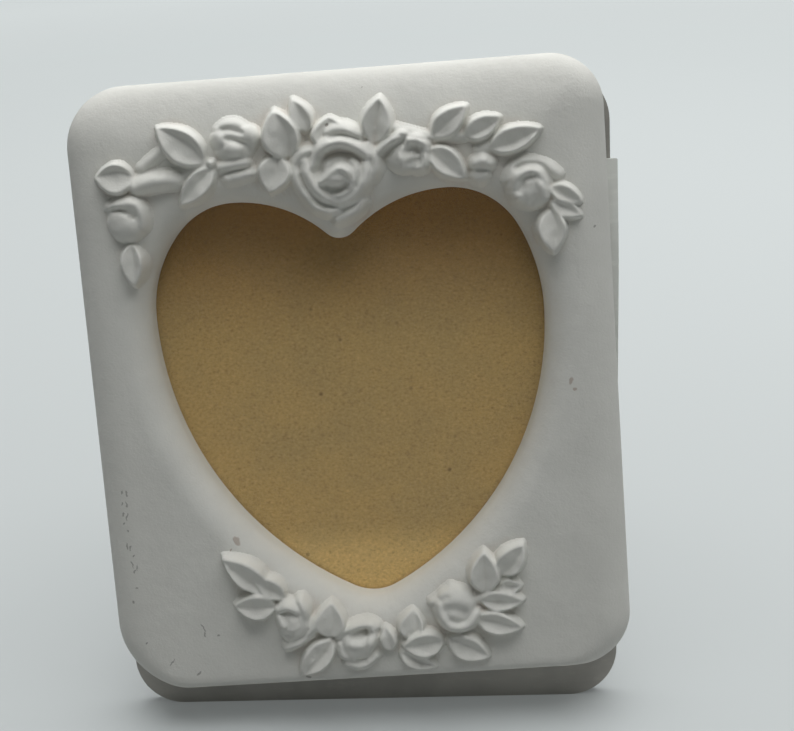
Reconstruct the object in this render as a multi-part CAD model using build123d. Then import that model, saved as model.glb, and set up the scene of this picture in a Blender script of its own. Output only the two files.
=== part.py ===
from build123d import *
import os
from math import cos, pi, radians, sin, tan

# A small cast photo frame with a heart window, rose garlands, a side-loading pocket and an easel leg.
# Sizes are in millimetres. Every piece is drawn upright, facing -Y, with the back face of the front
# casting in the plane y = 0: the casting and its garlands about the casting's centre, the board and all
# that it carries about the board's. The casting is set on the board, which is then leaned back to stand.

# Front casting
frame_width = 90.0
frame_height = 106.0
frame_thickness = 8.0
top_corner_radius = 10.5
bottom_corner_radius = 12.5
edge_roll = 6.0
rim_roll = 5.2
lean_angle = 12.0

# Heart opening, set in from the edges of the casting
heart_side_margin = 11.7
heart_top_margin = 20.8
heart_tip_margin = 14.6
left_shoulder_drop = 18.7
right_shoulder_drop = 21.7
lobe_spread = 0.54
shoulder_roundness = 0.86
notch_x = -0.3
notch_drop = 8.7
notch_radius = 3.2
tip_x = 0.8
tip_radius = 8.0

# Back board, pocket and cards: the casting is glued on a little askew, and the board stands out under it
back_skew = 2.2
back_x = 0.5
back_z = 1.1
board_side_margin = 0.75
board_end_margin = 2.5
board_drop = 9.7
board_trim = 1.6
board_radius = 8.6
board_thickness = 2.0
pocket_depth = 2.8
strip_margin = 3.0
end_strip_width = 2.45
bottom_strip_width = 6.2
top_strip_width = 11.8
card_gap = 0.3
window_thickness = 0.4
photo_gap = 0.1
photo_thickness = 0.8
photo_setback = 3.25
slide_overhang = 1.1
slide_straight = 17.2
slide_taper = 1.15
slide_thickness = 1.2
slide_corner = 0.3

# Easel leg and hinge
pin_height = 10.0
open_angle = 24.0
leg_thickness = 2.0
leg_gap = 0.3
leg_top_width = 22.0
leg_foot_width = 38.0
leg_spare = 10.0
leg_corner = 2.0
hinge_width = 16.0
leaf_height = 10.0
leaf_thickness = 0.5
knuckle_radius = 1.2
middle_knuckle = 8.0
knuckle_gap = 0.2
hinge_gap = 0.3
ear_height = 2.6
ear_gap = 0.1
pin_radius = 0.6
pin_clearance = 0.05
pin_reach = 0.4
rivet_radius = 0.8
rivet_clearance = 0.03
rivet_head_radius = 1.5
rivet_head_height = 0.6
rivet_bite = 1.4
rivet_spacing = 10.0
rivet_inset = 3.4

# Leaves
leaf_depth = 4.0
leaf_rise = 1.3
leaf_fold = 20.0
leaf_belly = 0.32
leaf_shoulder = 0.68

# Blooms: widths are shares of the bloom's radius, rises are shares of its height
rose_height = 0.8
petal_count = 6
petal_wall = 0.15
base_width = 0.82
base_rise = 0.4
outer_foot = 0.7
outer_rim = 1.05
outer_rise = 0.8
inner_foot = 0.42
inner_rim = 0.66
inner_rise = 0.95
bud_foot = 0.32
bud_top = 0.16

# Roses: x and z in hundredths of the casting's half width and half height,
# and the bloom's radius in hundredths of the half width
UPPER_ROSES = [
    (-76, 58, 8.9),
    (-37, 79, 9.1),
    (0, 68, 13.8),
    (27, 73, 8.4),
    (71, 62, 8.9),
]
LOWER_ROSES = [
    (-29, -75, 8.9),
    (-4, -84, 9.1),
    (33, -72, 8.9),
]

# Leaves: x and z of the stalk end as for the roses, length and width in hundredths of the half width,
# then the direction and the tilt of the tip in degrees
UPPER_LEAVES = [
    (-73, 71, 14, 11, 176, 8),
    (-56, 70, 20, 9, 188, 4),
    (-47, 74, 21, 12, 140, 8),
    (-44, 72, 19, 8, 223, 2),
    (-41, 70, 13, 8, 10, 0),
    (-16, 74, 18, 13, 102, 14),
    (-19, 75, 14, 12, 251, 10),
    (-8, 81, 13, 8, 112, 2),
    (-0, 75, 12, 13, 90, 4),
    (16, 76, 17, 12, 79, 10),
    (36, 77, 17, 9, 38, 8),
    (35, 74, 17, 9, 316, 4),
    (48, 76, 15, 8, 25, 6),
    (57, 72, 20, 9, 17, 8),
    (53, 72, 11, 8, 266, 10),
    (78, 59, 13, 7, 331, 2),
    (77, 55, 13, 6, 332, 2),
    (77, 52, 16, 10, 272, 6),
    (-77, 51, 16, 9, 270, 6),
]
LOWER_LEAVES = [
    (-38, -64, 22, 10, 139, 10),
    (-32, -67, 15, 8, 139, 6),
    (-36, -69, 16, 10, 175, 8),
    (-16, -81, 13, 10, 85, 12),
    (-15, -82, 19, 10, 226, 6),
    (7, -87, 10, 6, 100, 2),
    (15, -83, 12, 9, 82, 8),
    (28, -85, 16, 10, 183, 10),
    (10, -88, 16, 8, 334, 2),
    (44, -69, 15, 11, 88, 14),
    (50, -63, 16, 10, 51, 12),
    (50, -67, 9, 6, 356, 2),
    (42, -71, 17, 8, 356, 6),
    (40, -77, 19, 9, 345, 6),
    (29, -84, 18, 10, 332, 6),
]


half_width = frame_width / 2
half_height = frame_height / 2
heart_half_width = half_width - heart_side_margin
heart_top = half_height - heart_top_margin
heart_tip = heart_tip_margin - half_height
lobe_x = lobe_spread * heart_half_width


def heart_half(side, shoulder_drop):
    """Arcs of one half of the heart: notch, lobe, shoulder and flank."""
    reach = heart_half_width - lobe_x
    top_radius = shoulder_roundness * reach
    span = reach**2 + shoulder_drop**2
    side_radius = (span - 2 * shoulder_drop * top_radius) / (2 * (reach - top_radius))
    top = Vector(side * lobe_x, heart_top)
    widest = Vector(side * heart_half_width, heart_top - shoulder_drop)
    top_centre = top - Vector(0, top_radius)
    side_centre = widest - Vector(side * side_radius, 0)
    join = top_centre + (top_centre - side_centre).normalized() * top_radius
    return [
        TangentArc(top, (notch_x, heart_top - notch_drop), tangent=(-side, 0)),
        TangentArc(top, join, tangent=(side, 0)),
        TangentArc(widest, join, tangent=(0, 1)),
        TangentArc(widest, (tip_x, heart_tip), tangent=(0, -1)),
    ]


def heart_face():
    """Heart opening with its tip and its notch rounded."""
    outline = make_face(heart_half(1, right_shoulder_drop) + heart_half(-1, left_shoulder_drop))
    tip = outline.vertices().sort_by_distance((tip_x, heart_tip))[0]
    outline = fillet(tip, tip_radius)
    notch = outline.vertices().sort_by_distance((notch_x, heart_top - notch_drop))[0]
    return fillet(notch, notch_radius)


def casting_blank():
    """Rounded plaque with its front edge rolled over."""
    outline = Rectangle(frame_width, frame_height)
    corners = outline.vertices().sort_by(Axis.Y)
    outline = fillet(corners[:2], bottom_corner_radius)
    corners = outline.vertices().group_by(Axis.Y)[-1]
    outline = fillet(corners, top_corner_radius)
    blank = extrude(Plane.XZ * outline, frame_thickness)
    return fillet(blank.faces().sort_by(Axis.Y)[0].outer_wire().edges(), edge_roll)


def front_casting():
    """Plaque with the heart cut through it and the rim rolled."""
    body = casting_blank() - extrude(Plane.XZ * heart_face(), frame_thickness)
    front = body.faces().filter_by(Axis.Y).sort_by(Axis.Y)[0]
    return fillet(front.inner_wires()[0].edges(), rim_roll)


def on_face(x, z, direction):
    """Place on the casting's front face, its X axis along direction and its Z axis outwards."""
    spot = (x / 100 * half_width, -frame_thickness, z / 100 * half_height)
    heading = (cos(radians(direction)), 0, sin(radians(direction)))
    return Plane(origin=spot, x_dir=heading, z_dir=(0, -1, 0)).location


def leaf(x, z, length, width, direction, tilt):
    """Pointed leaf folded along its vein, and deep enough to reach the casting under its raised tip."""
    length = length / 100 * half_width
    half = width / 200 * half_width
    belly = leaf_belly * length
    shoulder = leaf_shoulder * length
    outline = make_face(Polyline(
        (0, 0), (belly, -half), (shoulder, -half), (length, 0), (shoulder, half), (belly, half),
        close=True,
    ))
    edge_rise = leaf_rise + half * tan(radians(leaf_fold))
    fold = make_face(Polyline(
        (-half, -leaf_depth), (half, -leaf_depth), (half, edge_rise), (0, leaf_rise), (-half, edge_rise),
        close=True,
    ))
    blade = extrude(Plane.YZ * fold, length) & extrude(outline, edge_rise + leaf_depth, both=True)
    return on_face(x, z, direction) * Rot(0, -tilt, 0) * blade


def cup(foot_radius, rim_radius, height):
    """Tapered block with one flat side for each petal."""
    turns = [2 * pi * step / petal_count for step in range(petal_count)]
    foot = [(foot_radius * cos(turn), foot_radius * sin(turn), 0) for turn in turns]
    rim = [(rim_radius * cos(turn), rim_radius * sin(turn), height) for turn in turns]
    sides = [[foot[i - 1], foot[i], rim[i], rim[i - 1]] for i in range(petal_count)]
    return Solid(Shell([Face(Wire.make_polygon(points)) for points in sides + [foot, rim]]))


def petals(foot_radius, rim_radius, height, wall):
    """Ring of petals that lean outwards."""
    return cup(foot_radius, rim_radius, height) - cup(foot_radius - wall, rim_radius - wall, height)


def rose(x, z, radius):
    """Bloom of open outer petals, closer inner ones and a bud, on a flat base."""
    radius = radius / 100 * half_width
    height = radius * rose_height
    wall = radius * petal_wall
    bloom = cup(radius * base_width, radius * base_width, height * base_rise)
    bloom += petals(radius * outer_foot, radius * outer_rim, height * outer_rise, wall)
    bloom += Rot(0, 0, 180 / petal_count) * petals(
        radius * inner_foot, radius * inner_rim, height * inner_rise, wall
    )
    bloom += cup(radius * bud_foot, radius * bud_top, height)
    return on_face(x, z, 0) * bloom


def garland(roses, leaves):
    """Roses and leaves grown together, with a flat back that seats on the face of the casting."""
    sprays = [rose(*bloom) for bloom in roses] + [leaf(*blade) for blade in leaves]
    before_face = Pos(0, -frame_thickness - half_width, 0) * Box(frame_width, frame_width, frame_height)
    return sprays[0].fuse(*sprays[1:]) & before_face


def flat_sheet(left, right, bottom, top, front, thickness):
    """Rectangular sheet of the back assembly."""
    middle = Pos((left + right) / 2, front + thickness / 2, (bottom + top) / 2)
    return middle * Box(right - left, thickness, top - bottom)


def rivet_spots(height):
    """Centres of a pair of rivets at one height on the hinge."""
    return [(side * rivet_spacing / 2, height) for side in (-1, 1)]


def cross_bore(spots, radius, front, depth):
    """Round holes or shanks along Y, from the front face backwards."""
    rods = [
        Pos(x, front + depth / 2, z) * Rot(90, 0, 0) * Cylinder(radius, depth)
        for x, z in spots
    ]
    return Part() + rods


board_width = frame_width - 2 * board_side_margin
board_height = frame_height - 2 * board_end_margin
board_back = pocket_depth + board_thickness
pocket_left = strip_margin + end_strip_width - board_width / 2
pocket_bottom = strip_margin + bottom_strip_width - board_height / 2
pocket_top = board_height / 2 - strip_margin - top_strip_width
pin_y = board_back + knuckle_radius + ear_gap
leg_front = board_back + leg_gap
leg_back = leg_front + leg_thickness
upper_rivets = rivet_spots(pin_height + leaf_height - rivet_inset)
lower_rivets = rivet_spots(pin_height - leaf_height + rivet_inset)
rivet_hole = rivet_radius + rivet_clearance
swing = Pos(0, pin_y, pin_height) * Rot(open_angle, 0, 0) * Pos(0, -pin_y, -pin_height)

# The board's foot is cut flat at the lean, across its whole thickness.
foot_y = board_back - board_thickness / 2
foot_z = board_thickness / 2 * tan(radians(lean_angle)) - board_height / 2 - board_drop


def floor_cutter():
    """Everything under the surface that the leaning frame stands on."""
    reach = 4 * frame_height
    return Pos(0, foot_y, foot_z) * Rot(lean_angle, 0, 0) * Pos(0, 0, -reach / 2) * Box(reach, reach, reach)


def back_board():
    """Rounded board, trimmed at its left edge, with a flat foot and blind holes for the hinge rivets."""
    outline = RectangleRounded(board_width - board_trim, board_height + board_drop, board_radius)
    outline = Pos(board_trim / 2, -board_drop / 2) * outline
    board = Pos(0, board_back, 0) * extrude(Plane.XZ * outline, board_thickness)
    board -= cross_bore(upper_rivets, rivet_hole, board_back - rivet_bite, rivet_bite)
    return board - floor_cutter()


def pocket_strips():
    """Card strips above, below and at the end of the photo pocket."""
    left = pocket_left - end_strip_width
    right = board_width / 2 - strip_margin
    low = pocket_bottom - bottom_strip_width
    high = pocket_top + top_strip_width
    return {
        "pocket_top_strip": flat_sheet(left, right, pocket_top, high, 0, pocket_depth),
        "pocket_bottom_strip": flat_sheet(left, right, low, pocket_bottom, 0, pocket_depth),
        "pocket_end_strip": flat_sheet(left, pocket_left, pocket_bottom, pocket_top, 0, pocket_depth),
    }


def pocket_sheets():
    """Clear window, brown photo card and the white slide card behind it, which tapers at its free edge."""
    left = pocket_left + card_gap
    bottom = pocket_bottom + card_gap
    top = pocket_top - card_gap
    photo_right = board_width / 2 - photo_setback
    photo_front = window_thickness + photo_gap
    slide_right = board_width / 2 + slide_overhang
    slide_back = photo_front + photo_thickness + slide_thickness
    outline = make_face(Polyline(
        (left, bottom), (slide_right - slide_taper, bottom),
        (slide_right, top - slide_straight), (slide_right, top), (left, top),
        close=True,
    ))
    outline = fillet(outline.vertices().sort_by_distance((slide_right, top))[0], slide_corner)
    return {
        "window_sheet": flat_sheet(left, photo_right, bottom, top, 0, window_thickness),
        "photo_card": flat_sheet(left, photo_right, bottom, top, photo_front, photo_thickness),
        "slide_card": Pos(0, slide_back, 0) * extrude(Plane.XZ * outline, slide_thickness),
    }


def easel_leg():
    """Tapered leg, drawn folded flat against the board and then swung open."""
    top = pin_height - knuckle_radius - hinge_gap
    foot = -half_height - leg_spare
    outline = make_face(Polyline(
        (-leg_top_width / 2, top), (leg_top_width / 2, top),
        (leg_foot_width / 2, foot), (-leg_foot_width / 2, foot),
        close=True,
    ))
    outline = fillet(outline.vertices().group_by(Axis.Y)[-1], leg_corner)
    leg = Pos(0, leg_back, 0) * extrude(Plane.XZ * outline, leg_thickness)
    leg -= cross_bore(lower_rivets, rivet_hole, leg_back - rivet_bite, rivet_bite)
    return swing * leg - floor_cutter()


def barrel(left, right):
    """Stretch of the hinge's rolled knuckle."""
    tube = Cylinder(knuckle_radius, right - left) - Cylinder(pin_radius + pin_clearance, right - left)
    return Pos((left + right) / 2, pin_y, pin_height) * Rot(0, 90, 0) * tube


side_knuckles = [
    (-hinge_width / 2, -middle_knuckle / 2 - knuckle_gap),
    (middle_knuckle / 2 + knuckle_gap, hinge_width / 2),
]
pin_bore = Pos(0, pin_y, pin_height) * Rot(0, 90, 0) * Cylinder(pin_radius + pin_clearance, 2 * hinge_width)


def hinge_board_leaf():
    """Leaf on the board, with the middle knuckle."""
    half = hinge_width / 2
    plate_low = pin_height + ear_height + hinge_gap
    plate = flat_sheet(-half, half, plate_low, pin_height + leaf_height, board_back, leaf_thickness)
    neck = flat_sheet(
        -middle_knuckle / 2, middle_knuckle / 2, pin_height, plate_low, board_back, leaf_thickness
    )
    leaf_part = plate + neck + barrel(-middle_knuckle / 2, middle_knuckle / 2) - pin_bore
    return leaf_part - cross_bore(upper_rivets, rivet_hole, board_back, leaf_thickness)


def hinge_leg_leaf():
    """Leaf on the leg, with the outer knuckles and the ears that stop the leg when it is open."""
    half = hinge_width / 2
    plate_high = pin_height - knuckle_radius - hinge_gap
    plate = flat_sheet(-half, half, pin_height - leaf_height, plate_high, leg_back, leaf_thickness)
    plate -= cross_bore(lower_rivets, rivet_hole, leg_back, leaf_thickness)
    for left, right in side_knuckles:
        plate += flat_sheet(left, right, plate_high, pin_height, leg_back, leaf_thickness)
    leaf_part = swing * plate
    for left, right in side_knuckles:
        leaf_part += barrel(left, right)
        leaf_part += flat_sheet(
            left, right, pin_height, pin_height + ear_height, board_back + ear_gap, leaf_thickness
        )
    return leaf_part - pin_bore


def hinge_pin():
    """Plain pin that stands out a little at each end of the knuckles."""
    return Pos(0, pin_y, pin_height) * Rot(0, 90, 0) * Cylinder(pin_radius, hinge_width + 2 * pin_reach)


def rivets(spots, seat):
    """Flat-headed rivets through a hinge leaf; seat is the face of the board or leg."""
    shanks = cross_bore(spots, rivet_radius, seat - rivet_bite, rivet_bite + leaf_thickness)
    heads = cross_bore(spots, rivet_head_radius, seat + leaf_thickness, rivet_head_height)
    return shanks + heads


# The leaning frame rests on the board's foot, and the middle of that foot is the origin.
on_back = Rot(-lean_angle, 0, 0) * Pos(0, -foot_y, -foot_z)
on_casting = on_back * Rot(0, -back_skew, 0) * Pos(-back_x, 0, -back_z)


def build_parts():
    """All the pieces of the frame, where they stand."""
    front = {
        "front_casting": front_casting(),
        "upper_garland": garland(UPPER_ROSES, UPPER_LEAVES),
        "lower_garland": garland(LOWER_ROSES, LOWER_LEAVES),
    }
    back = {
        "back_board": back_board(),
        "hinge_board_leaf": hinge_board_leaf(),
        "hinge_leg_leaf": hinge_leg_leaf(),
        "hinge_pin": hinge_pin(),
        "board_rivets": rivets(upper_rivets, board_back),
        "leg_rivets": swing * rivets(lower_rivets, leg_back),
        "easel_leg": easel_leg(),
    }
    back.update(pocket_strips())
    back.update(pocket_sheets())
    pieces = {name: on_casting * piece for name, piece in front.items()}
    pieces.update({name: on_back * piece for name, piece in back.items()})
    return pieces


if __name__ == "__main__":
    os.makedirs("parts", exist_ok=True)
    for node, piece in build_parts().items():
        export_step(piece, f"parts/{node}.step")
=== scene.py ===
"""Dresses a small cast photo frame with a heart window, rose garlands, a sliding card and an easel leg."""

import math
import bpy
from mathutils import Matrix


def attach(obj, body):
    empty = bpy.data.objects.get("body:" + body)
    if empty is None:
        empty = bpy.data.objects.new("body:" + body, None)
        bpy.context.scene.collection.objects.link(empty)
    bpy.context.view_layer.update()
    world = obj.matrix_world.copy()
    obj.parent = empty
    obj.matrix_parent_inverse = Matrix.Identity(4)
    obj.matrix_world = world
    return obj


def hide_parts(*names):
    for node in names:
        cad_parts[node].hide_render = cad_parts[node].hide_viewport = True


bl_info = {
    "name": "Heart Window Photo Frame",
    "version": (1, 0, 0),
    "blender": (4, 5, 0),
    "location": "View3D > Sidebar > Photo Frame",
    "description": "Makes the casting, garlands, cards, easel and stage of a small heart window photo frame",
    "category": "Add Mesh",
}

import bmesh
import bpy
import numpy as np
from mathutils import Matrix, Vector

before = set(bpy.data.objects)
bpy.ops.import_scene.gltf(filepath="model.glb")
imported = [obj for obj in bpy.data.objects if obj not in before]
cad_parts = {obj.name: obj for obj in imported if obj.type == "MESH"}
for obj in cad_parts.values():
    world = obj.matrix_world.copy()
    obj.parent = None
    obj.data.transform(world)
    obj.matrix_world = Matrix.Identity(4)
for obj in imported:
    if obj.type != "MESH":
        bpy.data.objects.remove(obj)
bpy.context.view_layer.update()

# Millimetres are used on the face of the casting, measured from its centre: x to the right, z up the face.
MM = 0.001
HALF_WIDTH = 45.0
HALF_HEIGHT = 53.0
CASTING_DEPTH = 8.0
LEAN = math.radians(12.0)
SKEW = math.radians(2.2)
EASEL_OPENING = math.radians(24.0)
POCKET_DEPTH = 2.8
HALF_BOARD = 1.0
BOARD_REACH = 60.2
BOARD_CENTRE = Vector((0.5, 0.0, 1.1))
BOARD_FOOT = Vector((0.0, POCKET_DEPTH + HALF_BOARD, HALF_BOARD * math.tan(LEAN) - BOARD_REACH))
FACE_NORMAL = (0.0, -math.cos(LEAN), math.sin(LEAN))

# The outline is drawn in by a hair, so that the askew casting stays inside the box of the solids.
HAIR = 0.15
# Half width and half height that hold the heart at the casting's back, and how flat that back is.
HEART_BOX = (40.0, 45.0)
BACK_FLATNESS = 0.02
# Where the outer roll starts to widen or tighten, measured from the middle, and over how far it does.
TOP_EASE = (25.0, 25.0)
FOOT_EASE = (38.0, 8.0)
SIDE_EASE = 12.0
# Points in each ring of the casting, and along the heart's edge where distances from it are measured.
RING_POINTS = 900
COARSE_HEART_POINTS = 700
HEART_POINTS = 1400
FINE_HEART_POINTS = 2400
SHARP_ANGLE = math.radians(50)

# Leaves: rounded lip, groove of the vein, fall for each millimetre past the edge, share of the tilt shown.
LEAF_LIP = 0.55
VEIN_DEPTH = 0.12
VEIN_WIDTH = 0.35
LEAF_FALL = 5.5
LEAF_TILT = 0.7
DOME_FALL = 3.0
# Carving: how softly each kind of form runs into the next, and how steeply a crest falls to its sides.
LUMP_BLEND = 0.25
CREST_BLEND = 0.2
FOOT_BLEND = 0.4
CREST_FALL = 0.6
STROKE_STEPS = 6
NO_CARVING = -9.0

# The camera stands at the photograph's view, with its focal length in pixels of the image.
CAMERA_PLACE = Vector((17.67, -231.4, 156.01)) * MM
CAMERA_AIM = Vector((7.25, 1.49, 63.75)) * MM
CAMERA_ROLL = math.radians(2.67)
SENSOR_WIDTH = 36.0
FOCAL_PIXELS = 1500
IMAGE_WIDTH = 794

# The casting sits askew on the board, and the board leans back on its foot, which is the origin.
STANCE = (Matrix.Rotation(-LEAN, 4, "X") @ Matrix.Translation(-BOARD_FOOT)
          @ Matrix.Rotation(-SKEW, 4, "Y") @ Matrix.Translation(-BOARD_CENTRE))
TURN = np.array(STANCE.to_3x3())
SHIFT = np.array(STANCE.translation)

# A garland is modelled like clay, in millimetres of the face: leaves and domes first, then petal lips and
# stems laid on as crests, then hollows pressed in.
# leaves: x and z of the stalk end, length, width, direction and tilt in degrees, and the share by which the
# vein lies off the middle
# domes: x, z, half width, half height, rise
# crests and hollows: rise or depth, half width, points of the stroke
UPPER = {
    "leaves": [
        (-33.0, 37.6, 6.4, 5.0, 176, 8, -0.4),
        (-21.1, 39.4, 9.6, 5.2, 140, 8, -0.35),
        (-19.7, 38.3, 8.4, 3.8, 223, 2, -0.25),
        (-7.4, 39.1, 8.0, 5.8, 102, 14, -0.4),
        (-8.7, 39.6, 6.4, 5.2, 251, 10, 0.0),
        (-3.7, 43.0, 6.0, 3.4, 112, 2, -0.3),
        (-0.1, 40.0, 5.4, 6.0, 90, 4, 0.0),
        (7.0, 40.4, 7.6, 4.8, 80, 5, 0.05),
        (16.4, 40.8, 7.5, 4.0, 38, 8, 0.0),
        (15.9, 39.0, 7.8, 4.2, 316, 4, -0.25),
        (21.7, 40.5, 6.6, 3.6, 25, 6, -0.4),
        (25.5, 38.3, 9.0, 4.0, 17, 8, -0.3),
        (35.0, 31.3, 5.8, 3.0, 331, 2, -0.1),
        (34.8, 28.9, 5.8, 2.8, 332, 2, 0.2),
        (34.7, 27.6, 7.2, 4.6, 272, 6, 0.35),
        (-34.6, 27.0, 7.2, 3.7, 270, 6, 0.2),
    ],
    "domes": [
        (0.1, 35.6, 6.44, 5.84, 2.7),
        (0.3, 35.5, 2.86, 2.27, 4.2),
        (-20.0, 39.2, 0.73, 0.73, 2.3),
        (23.8, 34.0, 1.61, 1.26, 1.2),
        (32.0, 31.8, 3.59, 3.92, 2.5),
        (-16.0, 42.2, 3.8, 3.2, 1.7),
        (-18.0, 42.7, 1.97, 1.76, 1.9),
        (-16.0, 41.3, 2.39, 1.56, 2.4),
        (-13.6, 43.0, 2.18, 1.97, 2.0),
        (-34.8, 30.6, 3.3, 3.42, 2.6),
        (11.9, 38.2, 3.48, 3.12, 2.3),
    ],
    "crests": [
        (4.0, 0.67, [(-2.9, 37.5), (-1.7, 40.0), (-0.2, 40.8), (1.7, 41.0), (3.5, 40.3), (5.3, 38.6)]),
        (3.2, 0.62, [(-4.4, 38.3), (-4.1, 36.4), (-3.4, 34.5), (-2.1, 32.7), (-0.3, 31.7)]),
        (2.3, 0.48, [(-6.3, 37.5), (-6.0, 35.3), (-4.8, 33.1), (-3.3, 31.1), (-1.5, 30.1), (0.2, 30.1)]),
        (3.2, 0.57, [(5.2, 38.1), (5.3, 36.2), (4.6, 34.3), (2.8, 32.3), (0.6, 31.5)]),
        (3.5, 0.48, [(3.3, 38.2), (3.9, 36.3), (3.3, 34.5), (1.5, 32.9), (-0.2, 32.6)]),
        (1.9, 0.48, [(0.1, 28.6), (1.5, 29.1), (3.1, 30.0), (4.1, 31.2)]),
        (3.0, 0.52, [(-0.4, 42.6), (1.1, 43.1), (2.7, 42.8), (4.3, 41.8)]),
        (2.4, 0.57, [(5.7, 40.1), (6.6, 38.4), (6.8, 36.5), (6.1, 35.1)]),
        (2.4, 0.57, [(-6.0, 38.4), (-5.0, 39.5), (-3.3, 40.0), (-2.1, 39.8)]),
        (4.6, 0.36, [(-1.8, 34.9), (-0.4, 36.0), (1.2, 36.9), (2.4, 36.2), (2.9, 34.8)]),
        (2.5, 0.65, [(23.4, 36.0), (24.3, 36.2), (25.1, 35.9)]),
        (1.5, 0.62, [(28.4, 33.0), (29.0, 34.4), (30.6, 35.5), (32.4, 35.5), (33.9, 34.9)]),
        (1.2, 0.8, [(33.4, 35.2), (35.0, 34.3), (36.2, 33.3)]),
        (3.0, 0.52, [(29.3, 31.8), (29.7, 33.4), (31.2, 34.2), (32.9, 33.9), (33.9, 32.3)]),
        (3.0, 0.52, [(32.6, 33.1), (33.4, 31.5), (33.7, 30.0)]),
        (2.6, 0.48, [(29.3, 30.9), (30.3, 29.7)]),
        (0.9, 0.8, [(-31.5, 39.2), (-27.9, 41.8)]),
        (1.2, 0.6, [(9.9, 42.7), (16.4, 40.6)]),
        (1.0, 0.9, [(-25.4, 37.2), (-20.9, 38.9)]),
        (2.3, 1.01, [(-32.6, 36.2), (-30.4, 36.8), (-28.1, 37.0), (-26.2, 36.9)]),
        (1.0, 0.6, [(16.4, 40.6), (21.7, 40.5)]),
        (0.9, 0.9, [(24.0, 38.2), (26.0, 38.6)]),
        (1.1, 0.6, [(-18.3, 44.3), (-17.0, 45.0), (-15.5, 45.0), (-14.1, 44.3)]),
        (1.6, 0.62, [(-18.2, 38.3), (-16.3, 38.7), (-14.4, 38.8)]),
        (1.5, 0.62, [(-17.4, 36.4), (-15.4, 36.7), (-13.4, 37.1)]),
        (2.6, 0.56, [
            (-37.1, 32.9), (-35.9, 33.5), (-34.0, 33.6), (-32.7, 32.9), (-32.2, 31.5), (-32.4, 29.9)]),
        (2.8, 0.38, [(7.7, 39.2), (9.0, 40.1), (10.5, 40.9), (11.6, 41.5), (12.2, 41.2)]),
        (2.9, 0.44, [(12.2, 40.1), (13.0, 40.6), (14.0, 40.5), (14.9, 39.8), (15.2, 38.9)]),
        (2.7, 0.35, [(10.9, 38.8), (11.1, 37.8), (11.3, 36.5)]),
        (2.5, 0.35, [(15.0, 38.6), (15.0, 37.5), (14.7, 36.3), (13.7, 35.9)]),
    ],
    "hollows": [
        (1.6, 0.72, [(-2.4, 37.0), (-1.7, 38.6), (-0.2, 39.4), (1.5, 39.6), (3.4, 39.0), (4.7, 38.2)]),
        (0.7, 0.43, [(-5.2, 36.0), (-4.3, 33.5), (-2.8, 31.6), (-0.7, 30.9)]),
        (0.6, 0.38, [(-1.8, 34.3), (-0.2, 33.0), (2.0, 33.6)]),
        (0.9, 0.38, [(-0.0, 41.8), (2.1, 42.1), (4.4, 41.3)]),
        (0.5, 0.29, [(4.4, 37.4), (4.4, 35.8), (3.4, 33.9)]),
        (0.9, 0.62, [(-1.1, 34.3), (0.4, 33.6), (1.9, 34.1)]),
        (0.9, 0.2, [(22.6, 35.1), (23.9, 35.1), (25.4, 34.9)]),
        (0.9, 0.39, [(29.8, 34.8), (31.7, 35.2), (33.7, 34.9), (34.7, 33.4), (35.0, 31.7)]),
        (0.7, 0.39, [(30.4, 31.7), (30.9, 32.9), (32.3, 33.3)]),
        (0.5, 0.44, [(32.3, 30.0), (31.8, 29.0)]),
        (0.9, 0.32, [(-17.7, 44.5), (-16.7, 44.5), (-15.7, 44.2), (-14.4, 43.7)]),
        (0.9, 0.32, [(-17.1, 42.9), (-16.2, 42.8), (-15.4, 42.5), (-14.5, 42.1)]),
        (0.8, 0.93, [(-19.5, 42.8), (-19.3, 41.4)]),
        (0.6, 0.73, [(-13.8, 41.8), (-13.4, 40.7)]),
        (0.5, 0.28, [(-18.4, 37.6), (-16.1, 37.7), (-13.9, 38.0)]),
        (1.1, 0.36, [(-38.1, 32.4), (-36.4, 32.8), (-34.6, 32.3), (-33.4, 31.4)]),
        (1.1, 0.58, [(9.0, 38.5), (10.1, 39.7), (11.5, 40.3)]),
        (1.2, 0.65, [(12.4, 38.8), (13.2, 39.1), (13.7, 38.7)]),
        (0.6, 0.44, [(12.4, 36.8), (13.3, 37.1), (14.2, 37.4)]),
        (0.5, 0.33, [(8.2, 46.5), (7.8, 44.9), (7.3, 43.3)]),
        (0.6, 0.24, [(11.1, 41.4), (13.4, 41.0), (16.0, 40.2)]),
    ],
}
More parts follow.
